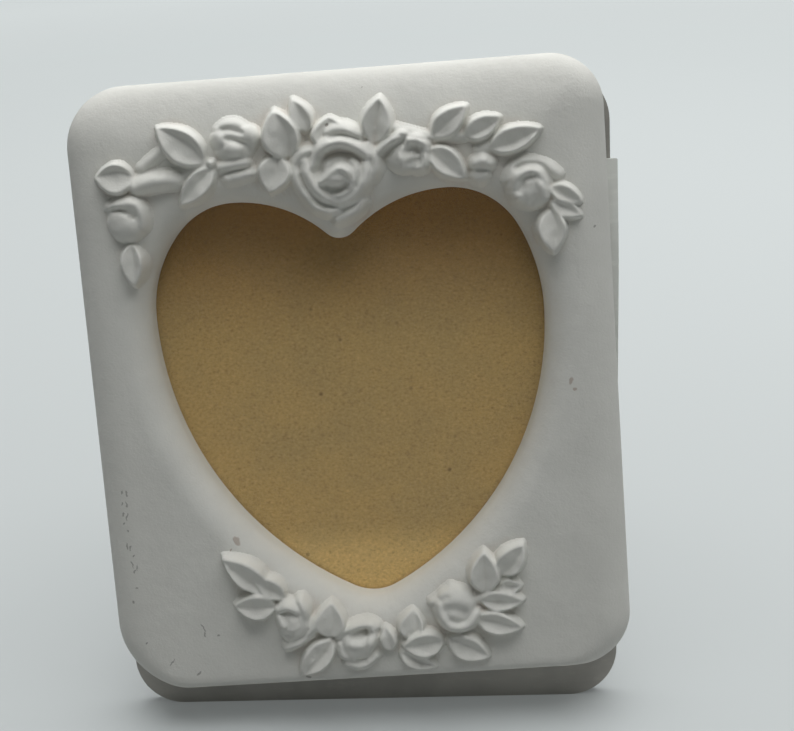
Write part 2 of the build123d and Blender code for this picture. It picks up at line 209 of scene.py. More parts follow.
LOWER = {
    "leaves": [
        (-16.9, -33.9, 10.0, 4.4, 139, 10, 0.35),
        (-14.3, -35.4, 6.6, 3.4, 139, 6, 0.1),
        (-16.0, -36.8, 7.2, 4.6, 175, 8, 0.05),
        (-7.3, -43.0, 6.3, 5.2, 83, -4, -0.2),
        (-6.8, -43.4, 8.5, 4.4, 226, 6, 0.2),
        (3.2, -46.0, 4.6, 2.8, 100, 2, 0.0),
        (6.6, -44.2, 5.5, 4.3, 82, -4, -0.5),
        (12.4, -44.8, 7.3, 4.4, 183, 10, 0.0),
        (4.6, -46.4, 7.0, 3.4, 334, 2, 0.0),
        (19.9, -36.6, 7.5, 5.0, 88, 8, 0.0),
        (22.6, -33.6, 7.0, 4.4, 51, 12, -0.3),
        (22.4, -35.6, 4.0, 2.8, 356, 2, 0.0),
        (19.0, -37.8, 7.6, 3.6, 356, 6, -0.2),
        (18.0, -41.0, 8.4, 4.0, 345, 6, 0.0),
        (13.1, -44.4, 7.9, 4.4, 332, 6, 0.2),
    ],
    "domes": [
        (-12.9, -40.1, 3.17, 3.88, 2.5),
        (-2.8, -44.6, 3.09, 3.53, 2.5),
        (-2.6, -44.3, 1.94, 1.41, 3.1),
        (14.8, -38.6, 3.65, 3.75, 3.0),
        (15.4, -37.5, 2.32, 1.97, 2.6),
    ],
    "crests": [
        (2.9, 0.46, [(-15.2, -37.2), (-13.8, -36.8), (-12.0, -37.9)]),
        (2.7, 0.39, [(-11.7, -36.1), (-11.1, -37.5), (-11.1, -39.1)]),
        (2.9, 0.42, [(-15.2, -38.6), (-14.8, -39.9), (-14.5, -40.7)]),
        (2.7, 0.39, [(-14.5, -40.6), (-13.1, -40.7), (-11.9, -40.2)]),
        (2.0, 0.39, [(-14.6, -44.2), (-12.6, -43.4), (-10.2, -42.2)]),
        (2.2, 0.35, [(-11.8, -42.3), (-10.0, -41.1), (-9.5, -39.7)]),
        (2.0, 0.35, [(-5.6, -42.8), (-4.3, -41.8), (-2.4, -41.2), (-0.4, -41.1), (0.9, -41.6)]),
        (2.9, 0.39, [(0.2, -42.0), (-0.1, -43.8), (-0.7, -45.1)]),
        (2.0, 0.39, [(-4.5, -47.7), (-2.5, -48.2), (-0.6, -47.4), (0.4, -46.7)]),
        (2.3, 0.35, [(-5.4, -44.2), (-5.1, -45.8), (-4.1, -46.7)]),
        (3.1, 0.51, [
            (12.2, -38.0), (12.4, -39.5), (13.3, -41.3), (14.9, -42.0), (16.8, -41.7), (18.0, -40.1)]),
        (1.4, 0.39, [(10.9, -37.9), (12.2, -37.2), (13.5, -36.2), (14.3, -35.4)]),
        (1.0, 0.8, [(-15.0, -36.0), (-13.0, -38.0)]),
        (1.0, 0.8, [(17.0, -38.5), (20.0, -37.0)]),
    ],
    "hollows": [
        (0.6, 0.28, [(-15.1, -37.9), (-13.8, -37.7), (-12.6, -38.7)]),
        (0.7, 0.42, [(-14.4, -41.7), (-13.8, -42.0)]),
        (0.6, 0.28, [(-13.7, -42.9), (-11.8, -42.2), (-10.7, -41.1)]),
        (0.5, 0.39, [(-12.3, -39.5), (-12.4, -38.5)]),
        (1.5, 0.71, [(-3.0, -42.8), (-1.4, -42.4), (0.0, -42.5)]),
        (0.8, 0.28, [(-2.8, -46.8), (-1.3, -47.2)]),
        (1.0, 0.89, [(13.7, -38.5), (14.8, -38.8), (16.0, -39.3)]),
        (0.5, 0.47, [(12.0, -37.3), (13.4, -36.7)]),
    ],
}

# Marks on the casting: x, z, half length, half width, direction in degrees
SCUFFS = [
    (-40.8, -15.3, 0.5, 0.16, 80),
    (-40.0, -15.6, 0.62, 0.16, 95),
    (-41.0, -17.3, 0.37, 0.16, 70),
    (-40.2, -17.4, 0.62, 0.16, 100),
    (-41.0, -19.2, 0.5, 0.16, 85),
    (-40.3, -19.6, 0.75, 0.16, 75),
    (-41.1, -20.9, 0.25, 0.16, 60),
    (-40.5, -22.1, 0.2, 0.16, 90),
    (-40.9, -24.8, 0.75, 0.16, 95),
    (-40.3, -25.2, 0.5, 0.16, 80),
    (-39.9, -26.5, 0.3, 0.16, 60),
    (-40.3, -28.1, 0.75, 0.16, 105),
    (-39.5, -28.7, 0.57, 0.16, 80),
    (-40.0, -29.4, 0.37, 0.16, 60),
    (-40.0, -32.4, 0.27, 0.16, 30),
    (-40.9, -34.9, 0.42, 0.16, 95),
    (-26.6, -41.8, 0.22, 0.16, 20),
    (-39.2, -42.3, 0.25, 0.16, 30),
    (-29.1, -40.2, 0.8, 0.16, 110),
    (-29.0, -41.4, 0.55, 0.16, 95),
    (-35.1, -46.2, 0.82, 0.16, 55),
    (-30.6, -48.4, 0.5, 0.16, 45),
    (-11.6, -50.2, 0.55, 0.22, 5),
    (13.6, -29.4, 0.39, 0.26, 45),
    (42.0, 24.3, 0.28, 0.24, 40),
    (5.5, 49.6, 0.24, 0.21, 0),
]
WORN_SPOTS = [
    (-21.9, -25.2, 0.92, 0.55, 120),
    (-23.0, -26.6, 0.37, 0.2, 60),
    (36.6, -1.1, 0.73, 0.33, 70),
    (37.2, -2.5, 0.33, 0.24, 0),
]


class CastingSettings(bpy.types.PropertyGroup):
    thickness: bpy.props.FloatProperty(
        name="Thickness", description="Casting from its back to its face", default=CASTING_DEPTH * MM,
        unit="LENGTH")
    edge_roll: bpy.props.FloatProperty(
        name="Edge roll", description="Radius of the rolled outer edge", default=0.006, unit="LENGTH")
    top_spread: bpy.props.FloatProperty(
        name="Top spread", description="How many times as wide the roll is along the top", default=2.2)
    foot_spread: bpy.props.FloatProperty(
        name="Foot spread", description="How many times as wide the roll is along the foot", default=0.35)
    foot_rise: bpy.props.FloatProperty(
        name="Foot rise", description="How far the casting ends above its nominal foot", default=0.0008,
        unit="LENGTH")
    rim_roll: bpy.props.FloatProperty(
        name="Rim roll", description="Radius of the rolled heart rim", default=0.0052, unit="LENGTH")
    top_left: bpy.props.FloatProperty(
        name="Top left", description="Radius of the upper left corner", default=0.0105, unit="LENGTH")
    top_right: bpy.props.FloatProperty(
        name="Top right", description="Radius of the upper right corner", default=0.009, unit="LENGTH")
    bottom_left: bpy.props.FloatProperty(
        name="Bottom left", description="Radius of the lower left corner", default=0.0125, unit="LENGTH")
    bottom_right: bpy.props.FloatProperty(
        name="Bottom right", description="Radius of the lower right corner", default=0.0092, unit="LENGTH")
    wobble: bpy.props.FloatProperty(
        name="Wobble", description="Depth of the hand-cast unevenness", default=0.00025, unit="LENGTH")
    white: bpy.props.FloatVectorProperty(
        name="White", description="Matt white of the casting", default=(0.81, 0.81, 0.76), subtype="COLOR")
    # Painted shade: a warm dark colour laid into the casting's hollows by how deep they lie.
    hollow_shade: bpy.props.FloatVectorProperty(
        name="Stain", description="Old wash left in the hollows", default=(0.50, 0.40, 0.32), subtype="COLOR")


class GarlandSettings(bpy.types.PropertyGroup):
    pitch: bpy.props.FloatProperty(
        name="Pitch", description="Spacing of the carved surface's points", default=0.00018, unit="LENGTH")
    softness: bpy.props.FloatProperty(
        name="Softness", description="How far the paint fills the carving", default=0.00017, unit="LENGTH")
    leaf_rise: bpy.props.FloatProperty(
        name="Leaf rise", description="Height of a leaf's vein over the face", default=0.001, unit="LENGTH")
    leaf_fold: bpy.props.FloatProperty(
        name="Leaf fold", description="Slope of a leaf's halves up to its edges", default=math.radians(33),
        subtype="ANGLE")
    press: bpy.props.FloatProperty(
        name="Press", description="How far the hollows are pressed in, as a share of their full depth",
        default=0.72)
    hand: bpy.props.FloatProperty(
        name="Hand", description="Unevenness of the hand-worked surface", default=0.00008, unit="LENGTH")


class CardSettings(bpy.types.PropertyGroup):
    # The card's tip colour is painted light and its top colour is painted shade under the heart's upper rim.
    tip_brown_lit: bpy.props.FloatVectorProperty(
        name="Brown", description="Faded fibre card at the heart's tip", default=(0.88, 0.59, 0.20),
        subtype="COLOR")
    mid_brown: bpy.props.FloatVectorProperty(
        name="Middle brown", description="Fibre card across the heart", default=(0.64, 0.42, 0.135),
        subtype="COLOR")
    top_brown_shaded: bpy.props.FloatVectorProperty(
        name="Deep brown", description="Fibre card at the heart's top", default=(0.36, 0.165, 0.022),
        subtype="COLOR")
    white: bpy.props.FloatVectorProperty(
        name="White", description="Slide card and pocket strips", default=(0.93, 0.95, 0.90), subtype="COLOR")
    grey: bpy.props.FloatVectorProperty(
        name="Grey", description="Back board and leg", default=(0.33, 0.32, 0.295), subtype="COLOR")


class HingeSettings(bpy.types.PropertyGroup):
    steel: bpy.props.FloatVectorProperty(
        name="Steel", description="Satin steel of the hinge and its rivets", default=(0.62, 0.61, 0.58),
        subtype="COLOR")
    head_radius: bpy.props.FloatProperty(
        name="Head radius", description="Radius of a rivet's domed head", default=0.0015, unit="LENGTH")
    head_height: bpy.props.FloatProperty(
        name="Head height", description="Rise of a rivet's head over the leaf", default=0.0006, unit="LENGTH")
    shank_radius: bpy.props.FloatProperty(
        name="Shank radius", description="Radius of a rivet's shank", default=0.0008, unit="LENGTH")
    shank_length: bpy.props.FloatProperty(
        name="Shank length", description="Length of a rivet under its head", default=0.0019, unit="LENGTH")


class StageSettings(bpy.types.PropertyGroup):
    floor: bpy.props.FloatVectorProperty(
        name="Floor", description="Pale table", default=(0.50, 0.53, 0.53), subtype="COLOR")
    # Painted light: a glow the table shows to the camera, growing with distance from the frame.
    far_glow: bpy.props.FloatVectorProperty(
        name="Haze", description="Light that the table gains as it runs back", default=(0.50, 0.53, 0.53),
        subtype="COLOR")
    bounce: bpy.props.FloatVectorProperty(
        name="Bounce", description="Table as the object's underside sees it", default=(0.42, 0.43, 0.43),
        subtype="COLOR")
    ceiling: bpy.props.FloatProperty(
        name="Ceiling", description="Power of the broad overhead lamp", default=4.9, unit="POWER")
    front: bpy.props.FloatProperty(
        name="Front", description="Power of the soft lamp above and in front", default=0.2, unit="POWER")
    ambient: bpy.props.FloatProperty(
        name="Ambient", description="Strength of the even room light", default=0.05)
    horizon: bpy.props.FloatProperty(
        name="Horizon", description="How pale the room shows beyond the table", default=0.5)


class Graph:
    """Adds nodes to a tree, with inputs given as values or as the outputs of other nodes."""

    def __init__(self, tree):
        self.tree = tree

    def put(self, socket, value):
        if isinstance(value, bpy.types.NodeSocket):
            self.tree.links.new(value, socket)
        else:
            socket.default_value = value

    def node(self, kind, inputs=None, **settings):
        made = self.tree.nodes.new(kind)
        for key, value in settings.items():
            setattr(made, key, value)
        for key, value in (inputs or {}).items():
            self.put(made.inputs[key], value)
        return made

    def math(self, operation, first, second=0.0):
        return self.node("ShaderNodeMath", {0: first, 1: second}, operation=operation).outputs[0]

    def vector(self, operation, inputs, output="Vector"):
        return self.node("ShaderNodeVectorMath", inputs, operation=operation).outputs[output]

    def mix(self, factor, first, second, blend="MIX"):
        made = self.node("ShaderNodeMix", {"Factor": factor}, data_type="RGBA", blend_type=blend)
        self.put(made.inputs[6], first)
        self.put(made.inputs[7], second)
        return made.outputs[2]

    def ramp(self, value, low, high):
        """0 below low, 1 above high and smooth between them."""
        made = self.node(
            "ShaderNodeMapRange", {"Value": value, "From Min": low, "From Max": high},
            interpolation_type="SMOOTHSTEP")
        return made.outputs[0]

    def between(self, value, low, high):
        """Runs from low to high as a value runs from 0 to 1."""
        return self.node("ShaderNodeMapRange", {"Value": value, "To Min": low, "To Max": high}).outputs[0]

    def lay(self, mask, amount, tone, second):
        """Lays an amount of a second colour over a tone where a mask shows it."""
        return self.mix(self.math("MULTIPLY", mask, amount), tone, second)

    def times(self, tone, rgb):
        """A tone multiplied by a colour."""
        return self.mix(1.0, tone, colour(rgb), "MULTIPLY")

    def noise(self, place, scale, detail=4.0, roughness=0.55):
        made = self.node(
            "ShaderNodeTexNoise", {"Vector": place, "Scale": scale, "Detail": detail, "Roughness": roughness})
        return made.outputs["Fac"]

    def spots(self, place, scale):
        """Distance from the nearest of many scattered points."""
        return self.node("ShaderNodeTexVoronoi", {"Vector": place, "Scale": scale}).outputs["Distance"]


def new_material(name):
    """Empty node material, with its graph, its main shader and the place on the object."""
    material = bpy.data.materials.new(name)
    material.use_nodes = True
    shader = material.node_tree.nodes["Principled BSDF"]
    graph = Graph(material.node_tree)
    place = graph.node("ShaderNodeTexCoord").outputs["Object"]
    return material, graph, shader, place


def colour(rgb, share=1.0):
    """Opaque colour, made paler or darker by a share."""
    return (*np.multiply(rgb, share), 1.0)


def stretched(graph, place, x, y, z):
    return graph.node("ShaderNodeMapping", {"Vector": place, "Scale": (x, y, z)}).outputs[0]


def mark_mask(graph, place, marks):
    """1 on small long marks of the casting's face, 0 off them."""
    raggedness, depth, far_off = 0.7 * MM, 4 * MM, 9.0
    ragged = graph.node(
        "ShaderNodeTexNoise", {"Vector": place, "Scale": 1600.0, "Detail": 2.0}).outputs["Color"]
    shift = graph.vector("SUBTRACT", {0: ragged, 1: (0.5, 0.5, 0.5)})
    shift = graph.vector("SCALE", {0: shift, "Scale": raggedness})
    place = graph.vector("ADD", {0: place, 1: shift})
    nearest = far_off
    for x, z, half_length, half_width, direction in marks:
        turn = STANCE.to_3x3() @ Matrix.Rotation(-math.radians(direction), 3, "Y")
        centre = stand_up([(x, -CASTING_DEPTH, z)])[0]
        local = graph.node("ShaderNodeMapping", {
            "Vector": place, "Location": centre, "Rotation": turn.to_euler(),
            "Scale": (half_length * MM, depth, half_width * MM)}, vector_type="TEXTURE").outputs[0]
        nearest = graph.math("MINIMUM", graph.vector("LENGTH", {0: local}, "Value"), nearest)
    return graph.math("SUBTRACT", 1.0, graph.ramp(nearest, 0.7, 1.15))


def bump(graph, shader, height, distance, strength):
    made = graph.node("ShaderNodeBump", {"Height": height, "Distance": distance, "Strength": strength})
    graph.put(shader.inputs["Normal"], made.outputs[0])


def cast_white(settings):
    """Matt cast white: uneven paint, fine grain, pits, scuffs, and painted shade that darkens and warms the
    hollows.
    """
    material, graph, shader, place = new_material("worn_white_painted_shade")
    recess = graph.node("ShaderNodeAttribute", attribute_name="recess").outputs["Fac"]
    cloud = graph.noise(place, 70.0, 6.0, 0.68)
    tone = graph.mix(graph.ramp(cloud, 0.3, 0.72), colour(settings.white, 0.93), colour(settings.white))
    # Painted shade: hollows, found from the recess attribute, are darkened and warmed in patches.
    patchy = graph.ramp(graph.noise(place, 160.0), 0.35, 0.65)
    hollow_shade = graph.math("MULTIPLY", graph.ramp(recess, 0.15, 0.9), patchy)
    tone = graph.lay(hollow_shade, 0.28, tone, colour(settings.hollow_shade))
    pit = graph.ramp(graph.spots(place, 150.0), 0.03, 0.07)
    rare = graph.ramp(graph.noise(place, 55.0, 2.0), 0.60, 0.66)
    pitted = graph.math("MULTIPLY", graph.math("SUBTRACT", 1.0, pit), rare)
    tone = graph.lay(pitted, 0.7, tone, colour((0.22, 0.19, 0.16)))
    tone = graph.lay(mark_mask(graph, place, SCUFFS), 0.55, tone, colour((0.20, 0.19, 0.17)))
    tone = graph.lay(mark_mask(graph, place, WORN_SPOTS), 0.7, tone, colour((0.46, 0.38, 0.32)))
    graph.put(shader.inputs["Base Color"], tone)
    grain = graph.noise(place, 2600.0, 3.0, 0.6)
    graph.put(shader.inputs["Roughness"], graph.between(grain, 0.62, 0.86))
    lumps = graph.math("MULTIPLY", graph.noise(place, 420.0, 3.0), 2.2)
    height = graph.math("SUBTRACT", graph.math("ADD", grain, lumps), graph.math("MULTIPLY", pitted, 3.0))
    bump(graph, shader, height, 0.00006, 0.9)
    shader.inputs["Specular IOR Level"].default_value = 0.3
    return material


def fibre_card(settings):
    """Brown fibre card, painted lighter at the heart's tip as painted light and darker at its top as painted
    shade: soft mottling, fine fibres and dark flecks.
    """
    material, graph, shader, place = new_material("fibre_card")
    height = graph.node("ShaderNodeSeparateXYZ", {0: place}).outputs["Z"]
    # Painted light towards the heart's tip and painted shade under its top rim, set by height.
    tone = graph.mix(graph.ramp(height, 0.027, 0.034), colour(settings.tip_brown_lit), colour(settings.mid_brown))
    tone = graph.mix(graph.ramp(height, 0.062, 0.092), tone, colour(settings.top_brown_shaded))
    mottle = graph.noise(place, 70.0, 4.0, 0.55)
    tone = graph.mix(graph.ramp(mottle, 0.25, 0.75), tone, graph.times(tone, (0.86, 0.9, 1.0)))
    fibre = graph.noise(stretched(graph, place, 0.7, 1.0, 1.0), 2500.0, 3.0, 0.75)
    tone = graph.mix(graph.ramp(fibre, 0.50, 0.76), tone, graph.times(tone, (1.24, 1.27, 1.42)))
    tone = graph.mix(graph.ramp(fibre, 0.49, 0.25), tone, graph.times(tone, (0.66, 0.60, 0.52)))
    fleck = graph.math("SUBTRACT", 1.0, graph.ramp(graph.spots(place, 260.0), 0.05, 0.13))
    fleck = graph.math("MULTIPLY", fleck, graph.ramp(graph.noise(place, 60.0, 1.0), 0.54, 0.58))
    tone = graph.lay(fleck, 0.6, tone, colour(settings.top_brown_shaded, 0.4))
    graph.put(shader.inputs["Base Color"], tone)
    shader.inputs["Roughness"].default_value = 0.8
    bump(graph, shader, graph.math("ADD", fibre, mottle), 0.00004, 0.5)
    return material


def plain_card(name, rgb, ridge, foot_light=1.0):
    """Card or board: a faint laid grain with paler fibres and scuffed patches, and a foot painted paler as
    painted light.
    """
    material, graph, shader, place = new_material(name)
    laid = graph.noise(stretched(graph, place, 0.25, 1.0, 1.0), ridge, 4.0, 0.6)
    patch = graph.noise(place, 60.0, 4.0)
    tone = graph.mix(graph.ramp(patch, 0.3, 0.7), colour(rgb, 0.86), colour(rgb, 1.08))
    tone = graph.lay(graph.ramp(laid, 0.5, 0.8), 0.3, tone, colour(rgb, 1.3))
    # Painted light: the foot is made paler by a share, as if lit by the table's bounce.
    height = graph.node("ShaderNodeSeparateXYZ", {0: place}).outputs["Z"]
    tone = graph.mix(graph.ramp(height, 0.016, 0.001), tone, graph.times(tone, [foot_light] * 3))
    graph.put(shader.inputs["Base Color"], tone)
    graph.put(shader.inputs["Roughness"], graph.between(patch, 0.7, 0.92))
    bump(graph, shader, graph.math("ADD", laid, patch), 0.00005, 0.6)
    return material


def clear_sheet():
    """Thin clear sheet with faint rubbing marks."""
    material, graph, shader, place = new_material("rubbed_sheet")
    rub = graph.noise(stretched(graph, place, 1.0, 1.0, 0.3), 300.0, 4.0)
    graph.put(shader.inputs["Roughness"], graph.between(rub, 0.16, 0.34))
    shader.inputs["Base Color"].default_value = (0.9, 0.92, 0.9, 1.0)
    shader.inputs["Alpha"].default_value = 0.03
    shader.inputs["Specular IOR Level"].default_value = 0.2
    return material


def brushed_steel(settings):
    """Satin steel, brushed along the hinge, with a little tarnish."""
    material, graph, shader, place = new_material("brushed_steel")
    brush = graph.noise(stretched(graph, place, 0.06, 1.0, 1.0), 3500.0, 4.0, 0.7)
    dull = graph.noise(place, 260.0, 4.0)
    tone = graph.mix(graph.ramp(dull, 0.4, 0.75), colour(settings.steel), colour(settings.steel, 0.66))
    graph.put(shader.inputs["Base Color"], tone)
    graph.put(shader.inputs["Roughness"], graph.between(brush, 0.26, 0.5))
    shader.inputs["Metallic"].default_value = 1.0
    bump(graph, shader, brush, 0.00002, 0.5)
    return material


def seen_rays(graph):
    """One for the rays that show a surface to the camera, straight, in metal or through glass."""
    ray = graph.node("ShaderNodeLightPath").outputs
    seen = graph.math("MAXIMUM", ray["Is Camera Ray"], ray["Is Glossy Ray"])
    return graph.math("MAXIMUM", seen, ray["Is Transmission Ray"])


def pale_table(settings):
    """Plain pale table, softly uneven, which throws back less light than it shows and glows paler far off as
    painted light.
    """
    material, graph, shader, place = new_material("pale_table")
    cloud = graph.noise(place, 3.0, 3.0)
    tone = graph.mix(cloud, colour(settings.floor, 0.98), colour(settings.floor, 1.02))
    seen = seen_rays(graph)
    graph.put(shader.inputs["Base Color"], graph.mix(seen, colour(settings.bounce), tone))
    # Painted light: the table glows more the further it lies from the frame, for the camera only.
    far = graph.node("ShaderNodeMapRange", {
        "Value": graph.vector("LENGTH", {0: place}, "Value"), "From Min": 0.08, "From Max": 0.95,
        "To Min": 0.19}).outputs[0]
    shader.inputs["Emission Color"].default_value = colour(settings.far_glow)
    graph.put(shader.inputs["Emission Strength"], graph.math("MULTIPLY", far, seen))
    shader.inputs["Roughness"].default_value = 0.7
    return material


def stand_up(points):
    """Points of the upright casting in millimetres, as rows of x, y, z, to their place in metres."""
    return (np.asarray(points, float) @ TURN.T + SHIFT) * MM


def lie_upright(points):
    """The other way round: rows in metres to the upright casting in millimetres."""
    return (np.asarray(points, float) / MM - SHIFT) @ TURN


def node_points(node):
    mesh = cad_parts[node].data
    points = np.empty(len(mesh.vertices) * 3)
    mesh.vertices.foreach_get("co", points)
    return points.reshape(-1, 3)


def heart_edge(count):
    """Heart opening at the back of the casting, as evenly spaced points that run round it."""
    upright = lie_upright(node_points("front_casting"))
    away = np.abs(upright)
    inner = (away[:, 1] < BACK_FLATNESS) & (away[:, 0] < HEART_BOX[0]) & (away[:, 2] < HEART_BOX[1])
    edge = np.unique(upright[inner][:, [0, 2]].round(4), axis=0)
    edge = edge[np.argsort(np.arctan2(edge[:, 1], edge[:, 0]))]
    loop = np.vstack([edge, edge[:1]])
    walk = np.concatenate([[0], np.cumsum(np.hypot(*np.diff(loop, axis=0).T))])
    even = np.linspace(0, walk[-1], count, endpoint=False)
    edge = np.column_stack([np.interp(even, walk, loop[:, 0]), np.interp(even, walk, loop[:, 1])])
    for _ in range(2):
        edge = (np.roll(edge, 1, axis=0) + 2 * edge + np.roll(edge, -1, axis=0)) / 4
    return edge


def ease(share):
    """Smooth step from 0 to 1."""
    share = np.clip(share, 0, 1)
    return share * share * (3 - 2 * share)


def edge_distance(x, z, settings):
    """How far a point of the face lies inside the casting's rounded outline, in widths of a plain roll."""
    upper = np.where(x > 0, settings.top_right, settings.top_left)
    corner = np.where(z > 0, upper, np.where(x > 0, settings.bottom_right, settings.bottom_left)) / MM
    qx = np.abs(x) - HALF_WIDTH + corner
    qz = np.abs(z) - HALF_HEIGHT + np.where(z > 0, 0, settings.foot_rise / MM) + corner
    outside = np.hypot(np.maximum(qx, 0), np.maximum(qz, 0)) + np.minimum(np.maximum(qx, qz), 0)
    inward = ease((HALF_WIDTH - np.abs(x)) / SIDE_EASE)
    at_top = ease((z - TOP_EASE[0]) / TOP_EASE[1])
    at_foot = ease((-z - FOOT_EASE[0]) / FOOT_EASE[1])
    spread = 1 + inward * ((settings.top_spread - 1) * at_top + (settings.foot_spread - 1) * at_foot)
    return (corner - outside) / spread


def heart_distance(x, z, heart):
    """Distance of each point from the heart's edge, worked out in blocks to spare memory."""
    flat = np.column_stack([np.ravel(x), np.ravel(z)])
    found = np.empty(len(flat))
    size = 4000
    for start in range(0, len(flat), size):
        block = flat[start:start + size]
        gaps = (block[:, None, 0] - heart[None, :, 0]) ** 2 + (block[:, None, 1] - heart[None, :, 1]) ** 2
        found[start:start + size] = np.sqrt(gaps.min(axis=1))
    return found.reshape(np.shape(x))


def inside_heart(x, z, heart):
    """True inside the heart, which every ray from its middle leaves once."""
    angles = np.arctan2(heart[:, 1], heart[:, 0])
    order = np.argsort(angles)
    reach = np.interp(np.arctan2(z, x), angles[order], np.hypot(*heart.T)[order], period=2 * math.pi)
    return np.hypot(x, z) < reach


def roll_drop(distance, radius):
    """How far a rolled edge falls away from the face at a distance from its edge."""
    left = np.clip(radius - distance, 0, radius)
    return radius - np.sqrt(radius**2 - left**2)


def face_drop(x, z, heart, settings):
    """Height of the casting's surface against its face, in millimetres: 0, or less where it rolls down."""
    edge = roll_drop(np.maximum(edge_distance(x, z, settings), 0), settings.edge_roll / MM)
    rim = roll_drop(heart_distance(x, z, heart), settings.rim_roll / MM)
    return -edge - rim


def soft_max(first, second, blend):
    """The higher of two surfaces, run softly into each other where they are within the blend."""
    near = np.clip(blend - np.abs(first - second), 0, None) / blend
    return np.maximum(first, second) + near * near * blend / 4


def soften(grid, width):
    """Gaussian blur of a grid, its width in cells."""
    reach = int(3 * width) + 1
    weights = np.exp(-0.5 * (np.arange(-reach, reach + 1) / width) ** 2)
    weights /= weights.sum()
    for axis in (0, 1):
        padding = [(reach, reach) if axis == a else (0, 0) for a in (0, 1)]
        padded = np.pad(grid, padding, mode="edge")
        length = grid.shape[axis]
        grid = sum(w * np.take(padded, range(i, i + length), axis=axis) for i, w in enumerate(weights))
    return grid


def leaf_surface(x, z, leaf, settings):
    """Height of a pointed leaf: it sags to its vein and rises to a rounded lip at both edges."""
    x0, z0, length, width, direction, tilt, vein = leaf
    turn = math.radians(direction)
    along = (x - x0) * math.cos(turn) + (z - z0) * math.sin(turn)
    across = (z - z0) * math.cos(turn) - (x - x0) * math.sin(turn)
    share = np.clip(along / length, 0, 1)
    belly = np.sin(math.pi * share**0.8) ** 0.75
    half = width / 2 * belly
    inside = half - np.abs(across)
    beyond = np.hypot(np.maximum(-inside, 0), along - share * length)
    side = across - vein * half
    reach = np.where(side > 0, half * (1 - vein), half * (1 + vein)) + 1e-6
    sag = np.clip(np.abs(side) / reach, 0, 1) ** 1.3
    top = settings.leaf_rise / MM + LEAF_TILT * share * length * math.tan(math.radians(tilt))
    top = top + width / 2 * math.tan(settings.leaf_fold) * belly * sag
    top = top - VEIN_DEPTH * np.exp(-((side / VEIN_WIDTH) ** 2))
    return top - roll_drop(np.clip(inside, 0, LEAF_LIP), LEAF_LIP) - LEAF_FALL * beyond


def dome_surface(x, z, dome):
    """Height of a rounded lump, falling away outside it."""
    x0, z0, half_x, half_z, rise = dome
    out = np.hypot((x - x0) / half_x, (z - z0) / half_z)
    fall = DOME_FALL * min(half_x, half_z) * (out - 1)
    return np.where(out < 1, rise * np.sqrt(np.clip(1 - out**2, 0, None)), -fall)


def stroke_distance(x, z, points):
    """Distance from a smooth line through points, and how far along it the nearest spot lies, from 0 to 1."""
    points = np.array(points, float)
    knots = np.vstack([2 * points[0] - points[1], points, 2 * points[-1] - points[-2]])
    line = []
    for a, b, c, d in zip(knots, knots[1:], knots[2:], knots[3:]):
        for t in np.linspace(0, 1, STROKE_STEPS, endpoint=False):
            line.append(0.5 * (2 * b + (c - a) * t + (2 * a - 5 * b + 4 * c - d) * t**2
                               + (3 * b - a - 3 * c + d) * t**3))
    line.append(knots[-2])
    best = np.full(x.shape, np.inf)
    where = np.zeros(x.shape)
    for number, (a, b) in enumerate(zip(line, line[1:])):
        run = b - a
        share = np.clip(((x - a[0]) * run[0] + (z - a[1]) * run[1]) / (run @ run), 0, 1)
        away = np.hypot(x - a[0] - share * run[0], z - a[1] - share * run[1])
        where = np.where(away < best, (number + share) / (len(line) - 1), where)
        best = np.minimum(best, away)
    return best, where


def carving(x, z, garland, settings):
    """Height of a whole garland over the face, far below it where there is none."""
    top = np.full(x.shape, NO_CARVING)
    for leaf in garland["leaves"]:
        top = soft_max(top, leaf_surface(x, z, leaf, settings), LUMP_BLEND)
    for dome in garland["domes"]:
        top = soft_max(top, dome_surface(x, z, dome), LUMP_BLEND)
    for rise, half, points in garland["crests"]:
        away, along = stroke_distance(x, z, points)
        tucked = rise * (0.8 + 0.2 * np.sin(math.pi * along))
        top = soft_max(top, tucked - CREST_FALL * away**2 / half, CREST_BLEND)
    for depth, half, points in garland["hollows"]:
        away, _ = stroke_distance(x, z, points)
        top = top - settings.press * depth * np.exp(-((away / half) ** 2))
    return top


def unevenness(shape, pitch, seed):
    """Soft hand-worked unevenness over a grid, about one unit high."""
    grain = 0.6
    rough = soften(np.random.default_rng(seed).normal(size=shape), grain / pitch)
    return rough / rough.std()


def new_piece(name, points, faces, material, smooth=True):
    """Mesh object at the origin from points in metres."""
    mesh = bpy.data.meshes.new(name)
    mesh.from_pydata(np.asarray(points).tolist(), [], np.asarray(faces).tolist())
    mesh.polygons.foreach_set("use_smooth", [smooth] * len(mesh.polygons))
    mesh.materials.append(material)
    piece = bpy.data.objects.new(name, mesh)
    bpy.context.scene.collection.objects.link(piece)
    return piece


def add_attribute(mesh, name, values):
    mesh.attributes.new(name, "FLOAT", "POINT").data.foreach_set("value", np.asarray(values, np.float32))


def face_outwards(mesh):
    shape = bmesh.new()
    shape.from_mesh(mesh)
    bmesh.ops.recalc_face_normals(shape, faces=shape.faces)
    shape.to_mesh(mesh)
    shape.free()


def smooth_outside(mesh):
    """Turns the faces outwards and shades them smooth, but for sharp corners."""
    face_outwards(mesh)
    mesh.polygons.foreach_set("use_smooth", [True] * len(mesh.polygons))
    mesh.set_sharp_from_angle(angle=SHARP_ANGLE)


